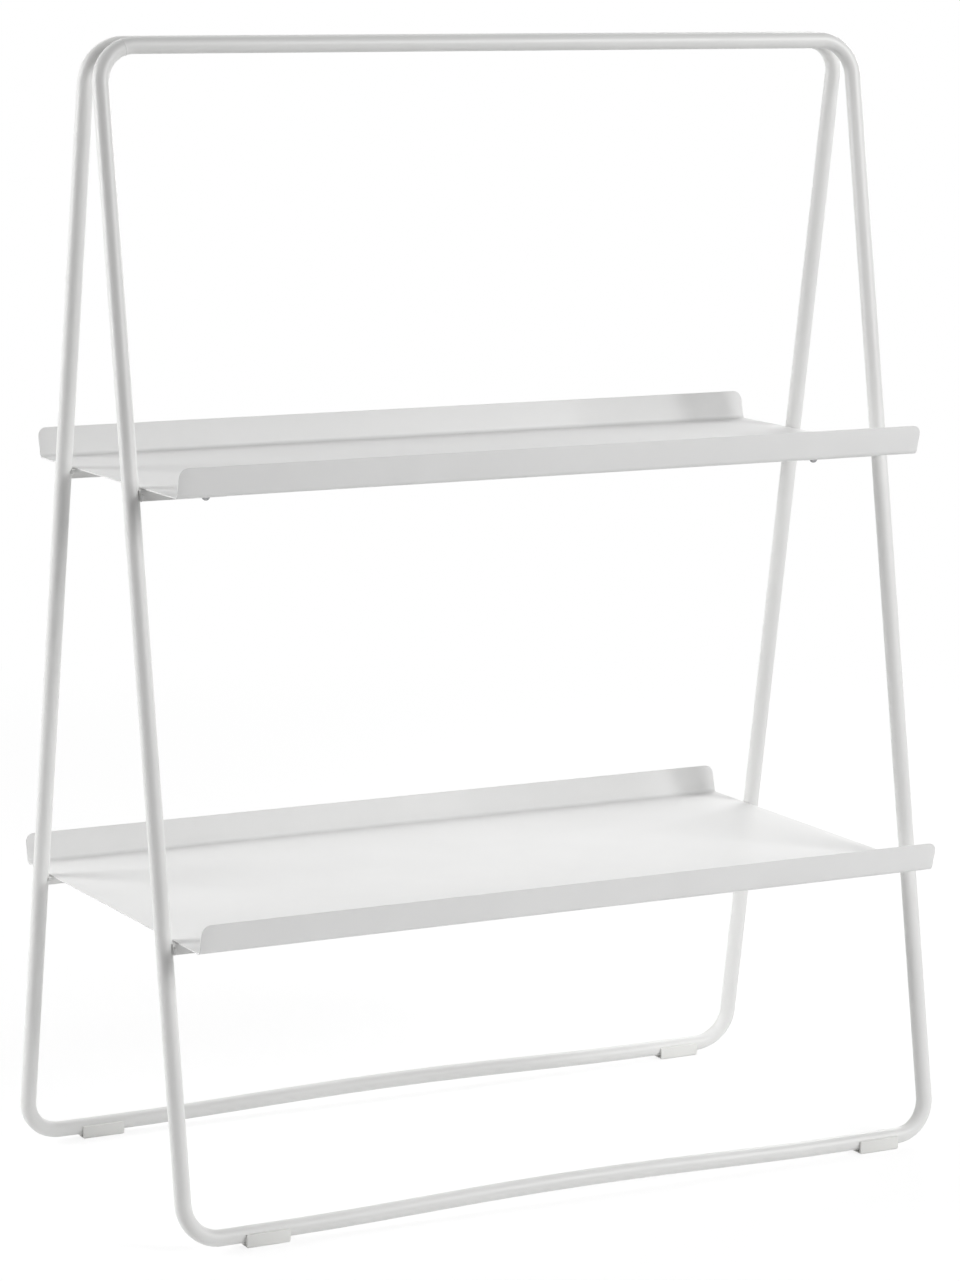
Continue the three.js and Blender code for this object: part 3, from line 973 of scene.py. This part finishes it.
# %% Turning a piece
def turned(name, profile, sides, place, limit=None, closed=False):
    """A piece turned round the Z axis at a place. limit says how wide it may be at an angle."""
    rings = []
    for radius, z in profile:
        ring = []
        for j in range(sides):
            turn = 2 * math.pi * j / sides
            r = min(radius, limit(turn, z)) if limit else radius
            ring.append(Vector((r * math.cos(turn), r * math.sin(turn), z)))
        rings.append(ring)
    piece = new_object(name, *skin(rings, closed), zinc)
    piece.location = place * MM
    bpy.context.view_layer.update()
    return piece


def arc(centre_r, centre_z, radius_r, radius_z, start, end, parts):
    """Points of an elliptic arc of a profile. Angles are in degrees, and 0 points outward."""
    points = []
    for k in range(parts + 1):
        angle = math.radians(start + (end - start) * k / parts)
        r = centre_r + radius_r * math.cos(angle)
        points.append((r, centre_z + radius_z * math.sin(angle)))
    return points


# %% Threaded studs
STUD_DIAMETER = 6.0
THREAD_PITCH = 1.0
THREAD_DEPTH = 0.55
STUD_LENGTH = 12.2
THREAD_ROWS = 8  # rings in one turn of the thread


def threaded_stud(name, place):
    """A stud with a helical thread: its radius waves with the height and the angle."""
    sides = 32
    rows = round(STUD_LENGTH / THREAD_PITCH * THREAD_ROWS)
    rings = []
    for i in range(rows + 1):
        z = -STUD_LENGTH * i / rows
        to_end = min(-z, STUD_LENGTH + z)
        ring = []
        for j in range(sides):
            share = (z / THREAD_PITCH + j / sides) % 1
            groove = THREAD_DEPTH * (1 - abs(2 * share - 1))
            run_out = min(1.0, 0.35 + to_end)
            radius = (STUD_DIAMETER / 2 - groove) * min(1.0, 0.86 + 0.14 * run_out)
            turn = 2 * math.pi * j / sides
            ring.append(Vector((radius * math.cos(turn), radius * math.sin(turn), z)))
        rings.append(ring)
    stud = new_object(name, *skin(rings), zinc)
    stud.location = place * MM
    bpy.context.view_layer.update()
    return stud


# %% Washers and cap nuts
WASHER_DIAMETER = 12.0
WASHER_THICKNESS = 1.6
WASHER_HOLE = 6.8
NUT_FLATS = 10.0
HEX_HEIGHT = 6.0
DOME_HEIGHT = 5.6
NUT_SHOULDER = 0.3
NUT_BORE = 6.6
BORE_DEPTH = 8.5


def washer(name, place):
    """A punched ring: rounded where the punch went in and nearly sharp on its other side."""
    outer, inner = WASHER_DIAMETER / 2, WASHER_HOLE / 2
    thick = WASHER_THICKNESS
    profile = arc(outer - 0.35, -0.35, 0.35, 0.35, 90, 0, 4)
    profile += arc(outer - 0.15, 0.15 - thick, 0.15, 0.15, 0, -90, 3)
    profile += arc(inner + 0.15, 0.15 - thick, 0.15, 0.15, -90, -180, 3)
    profile += arc(inner + 0.25, -0.25, 0.25, 0.25, 180, 90, 4)
    return turned(name, profile, 48, place, closed=True)


def cap_nut(name, place):
    """A hexagon with chamfered corners under its seat, closed by a dome, and bored from above."""
    flat = NUT_FLATS / 2
    corner = flat / math.cos(math.pi / 6)
    slope = math.tan(math.radians(30))
    dome = flat - NUT_SHOULDER

    def hexagon(turn, z):
        """The flats, and the cones that chamfer both ends of the hexagon."""
        if z < -HEX_HEIGHT - 0.005:
            return dome
        to_flat = (turn + math.pi / 6) % (math.pi / 3) - math.pi / 6
        from_end = min(-z, HEX_HEIGHT + z)
        cone = flat - 0.15 + max(0.0, from_end) / slope
        return min(flat / math.cos(to_flat), cone) if from_end > -1e-6 else dome

    bore = NUT_BORE / 2
    profile = [(0.02, -BORE_DEPTH - 0.9), (bore - 0.4, -BORE_DEPTH)]
    profile += [(bore - 0.4, -0.4), (bore + 0.1, 0)]
    chamfer_rows = [0.7 * k / 8 for k in range(9)]
    profile += [(corner, -row) for row in chamfer_rows]
    profile += [(corner, row - HEX_HEIGHT) for row in reversed(chamfer_rows)]
    profile += [(dome + 0.02, -HEX_HEIGHT - 0.01), (dome, -HEX_HEIGHT - 0.35)]
    profile += arc(0, -HEX_HEIGHT - 0.4, dome, DOME_HEIGHT - 0.4, 0, -89.5, 18)
    return turned(name, profile, 72, place, limit=hexagon)


# %% Eight sets of fixings
def fixings(tier, side_x, side_y):
    """The stud, washer and cap nut of one bracket."""
    where = f"{DEPTH_NAME[side_y]}_{WIDTH_NAME[side_x]}"
    place = stud_place(tier, side_x, side_y)
    hand_over(threaded_stud(f"{tier}_threaded_stud_{where}", place), "zinc", f"{tier}_stud_{where}")
    for kind, maker in (("washer", washer), ("cap_nut", cap_nut)):
        node = f"{tier}_{kind}_{where}"
        top = box_mm(node)[1].z
        piece = maker(f"{tier}_plated_{kind}_{where}", Vector((place.x, place.y, top)))
        hand_over(piece, "zinc", node)


for corner in CORNERS:
    fixings(*corner)

# %% [markdown]
# ## The glides
#
# Four plastic saddles are clipped on the bottom rails and keep the steel off the floor. A mould
# can't make thick corners well, so the glide is a thin shell: three ribs cradle the tube, and
# there are pockets between them. Seen from its end, that leaves a bright rim with a dark corner.
# The outside is a block with rounded lower edges. The tube's channel and the pockets are cut from
# it, and a last small bevel gives every edge the rounding of a moulded part.

# %% Sizes of the glides
GLIDE_SHELL = 1.6
GLIDE_CORNER = 3.0
GLIDE_TOP_CORNER = 1.4
RIB_COUNT = 3
RIB_THICKNESS = 2.0
RIB_FROM_END = 11.0
SOCKET = TUBE_DIAMETER + 0.6  # the channel's diameter


def block(name, low, high):
    """A plain block, used as raw stock or as a cutter."""
    rings = []
    for z in (low.z, high.z):
        rings.append([
            Vector((low.x, low.y, z)), Vector((high.x, low.y, z)),
            Vector((high.x, high.y, z)), Vector((low.x, high.y, z)),
        ])
    return new_object(name, *skin(rings))


# %% A glide
def round_block_edges(piece, low, high):
    """Rounds a block's lower edges by a wide radius, and the ends of its top by a small one."""
    shape = bmesh.new()
    shape.from_mesh(piece.data)
    lower, ends = [], []
    for edge in shape.edges:
        start, end = (v.co / MM for v in edge.verts)
        if max(start.z, end.z) < low.z + 0.01:
            lower.append(edge)
        elif min(start.z, end.z) > high.z - 0.01 and abs(start.x - end.x) < 0.01:
            ends.append(edge)
    for group, radius, parts in ((ends, GLIDE_TOP_CORNER, 5), (lower, GLIDE_CORNER, 8)):
        there = [edge for edge in group if edge.is_valid]
        bmesh.ops.bevel(
            shape, geom=there, offset=radius * MM, segments=parts, affect="EDGES", profile=0.5,
        )
    shape.to_mesh(piece.data)
    shape.free()


def glide(side_x, side_y):
    """One moulded saddle under a rail."""
    node = f"glide_{DEPTH_NAME[side_y]}_{WIDTH_NAME[side_x]}"
    low, high = box_mm(node)
    axis_y = (low.y + high.y) / 2
    piece = block(node + "_saddle", low, high)
    piece.data.materials.append(plastic)
    round_block_edges(piece, low, high)
    run_over = Vector((2.0, 0, 0))
    start = Vector((low.x, axis_y, rail_height)) - run_over
    end = Vector((high.x, axis_y, rail_height)) + run_over
    cutters = [round_bar("channel", SOCKET, start, end, 64)]
    first_rib = low.x + RIB_FROM_END
    rib_step = (high.x - low.x - 2 * RIB_FROM_END - RIB_THICKNESS) / (RIB_COUNT - 1)
    ribs = [first_rib + rib_step * i for i in range(RIB_COUNT)]
    starts = [low.x - 2] + [rib + RIB_THICKNESS for rib in ribs]
    ends = ribs + [high.x + 2]
    for pocket_start, pocket_end in zip(starts, ends):
        cutters.append(block(
            "pocket",
            Vector((pocket_start, axis_y - SOCKET / 2, low.z + GLIDE_SHELL)),
            Vector((pocket_end, axis_y + SOCKET / 2, rail_height)),
        ))
    cut_away(piece, *cutters)
    soften_edges(piece, 0.4, segments=2, steeper_than=50)
    hand_over(piece, "glide_plastic", node)


for side_y in SIDES:
    for side_x in SIDES:
        glide(side_x, side_y)

# %% [markdown]
# ## The floor and the white background
#
# The photograph shows the stand on plain white, and a truly white floor would throw light and
# shade about that the camera doesn't show. The Light Path node tells which ray is asking, so the
# floor can answer differently. To the object it is pale and returns the light that falls on it.
# To the camera, and in mirrors and glass, it glows white, and only a share of what is seen comes
# from the lamps, so the stand keeps a soft and faint shadow. Far away the glow is all there is,
# which hides the horizon.

# %% The floor
FLOOR_SIZE = 30000.0
NEAR = 1.3  # metres from the middle, where the fade to plain white starts
FAR = 3.2
FLOOR_GREY = 0.8
SHADOW_SHARE = 0.28  # of the white that the camera sees, this much is lit by the lamps
FLOOR_LIGHT = 0.72  # how brightly the lamps light a white floor outside any shadow
SWEEP_GLOW = 0.18  # light that the paper sweep returns over and above these lamps


def seen_directly(finish):
    """1 for rays from the camera, and for rays that are mirrored or pass through glass."""
    total = 0
    for name in ("Is Camera Ray", "Is Glossy Ray", "Is Transmission Ray"):
        total = finish.node("ShaderNodeLightPath", output=name) + total
    return finish.node("ShaderNodeMath", {"operation": "MINIMUM"}, {0: total, 1: 1.0})


def floor_finish():
    """Pale to the object, and white to the camera with the object's shadow on it."""
    ground = Finish("pale_floor")
    sockets = {0: ground.stretched(1, 1, 0)}
    away = ground.node("ShaderNodeVectorMath", {"operation": "LENGTH"}, sockets, output="Value")
    near = 1 - ground.step(away, NEAR, FAR)
    seen = seen_directly(ground)
    lit = near * (seen * (SHADOW_SHARE - FLOOR_GREY) + FLOOR_GREY)
    glow = seen * (1 - near * (SHADOW_SHARE * FLOOR_LIGHT)) + (1 - seen) * near * SWEEP_GLOW
    for socket, grey in (("Base Color", lit), ("Emission Color", glow)):
        colour = ground.node("ShaderNodeCombineColor", {}, {0: grey, 1: grey, 2: grey})
        ground.plug(ground.shader.inputs[socket], colour)
    ground.set(Roughness=1.0, Emission_Strength=1.0)
    ground.plug(ground.shader.inputs["Specular IOR Level"], 0.0)
    return ground.owner


half_size = FLOOR_SIZE / 2
FLOOR_LEVEL = -0.1  # just below the glides, so that the two never share a plane
edges = (-half_size, half_size)
floor_points = [(x, y, FLOOR_LEVEL) for y in edges for x in edges]
floor = new_object("floor", floor_points, [(0, 1, 3, 2)], floor_finish())
floor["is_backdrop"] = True
print("floor:", floor.name)

# %% [markdown]
# ## The light
#
# Large lamps near an object give the soft, even shade of a studio, and each one here has a job.
# The key stands on the left and a little behind, so every tube has a bright left edge. The lamp
# high on the right front lights the faces of the lips and the right sides of the legs, and leaves
# the brackets in the shade of their trays. Between these two no lamp stands near the camera, which
# leaves a darker line down the middle of each left leg. Two weak overhead lamps and one at the
# right back fill the tray floors, and the world and the floor add a little all round.
# Their powers keep every side of the stand below white, so nothing pale is washed out when it is
# seen from behind or from above.

# %% Lamps and world
WORLD_GREY = 0.04
AIM = Vector((0, 0, 650.0))


def soft_lamp(name, place, width, height, watts):
    """A large rectangular lamp that points at the middle of the stand."""
    data = bpy.data.lights.new(name, "AREA")
    data.shape = "RECTANGLE"
    data.size = width * MM
    data.size_y = height * MM
    data.energy = watts
    lamp = bpy.data.objects.new(name, data)
    lamp.location = place * MM
    lamp.rotation_euler = (AIM - place).to_track_quat("-Z", "Y").to_euler()
    lamp.visible_camera = False
    bpy.context.scene.collection.objects.link(lamp)


soft_lamp("key_left", Vector((-3150, 1320, 1650)), 1700, 2000, 86)
soft_lamp("front_right", Vector((2120, -3150, 2350)), 1800, 1800, 98)
soft_lamp("back_right", Vector((2800, 2000, 1900)), 1800, 2000, 48)
soft_lamp("overhead_front", Vector((0, -2200, 3400)), 3000, 1600, 10)
soft_lamp("overhead_back", Vector((0, 2200, 3400)), 3000, 1600, 15)

world = bpy.data.worlds.new("studio")
bpy.context.scene.world = world
air = Finish("studio", world)
air_seen = seen_directly(air)
background = air.tree.nodes["Background"]
background.inputs["Color"].default_value = (1, 1, 1, 1)
air.plug(background.inputs["Strength"], air_seen * (1 - WORLD_GREY) + WORLD_GREY)
bpy.context.scene.view_settings.view_transform = "Standard"

# %% [markdown]
# ## The sizes at the end
#
# The dressed stand has to keep the size of the imported one, so both boxes are printed at the end.

# %% Sizes, and the end
visual_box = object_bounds()
sizes = {"cad": [list(c) for c in cad_box], "visual": [list(c) for c in visual_box]}
for name, corners in sizes.items():
    print(name, [[round(v, 4) for v in corner] for corner in corners])
